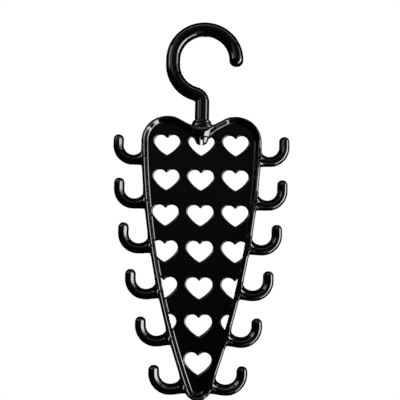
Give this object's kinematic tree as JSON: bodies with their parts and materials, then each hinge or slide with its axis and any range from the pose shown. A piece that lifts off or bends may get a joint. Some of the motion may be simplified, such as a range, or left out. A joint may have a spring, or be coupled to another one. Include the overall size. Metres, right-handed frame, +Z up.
{
  "type": "multi-hook hanger",
  "caption": "Flat heart-pierced hanger for ties, belts and scarves, with upturned side hooks and a swivelling rail hook.",
  "frame": {"origin": "on the stem's axis, level with the inside top of the rail hook's loop, where it rests on the rail", "axes": "+Z up along the stem, +X across the rack to the rail hook's open side, +Y through the rack towards its back"},
  "size_m": [0.154, 0.0172, 0.3286],
  "materials": {
    "hook_plastic": "polished black moulding",
    "rack_plastic": "polished black moulding"
  },
  "bodies": {
    "hook": {"rail_hook": "hook_plastic"},
    "rack": {"hook_rack": "rack_plastic"}
  },
  "joints": [
    {"name": "swivel", "type": "hinge", "parent": "hook", "child": "rack", "pos_m": [0, 0, -0.0881], "axis": [0, 0, 1], "continuous": true}
  ]
}
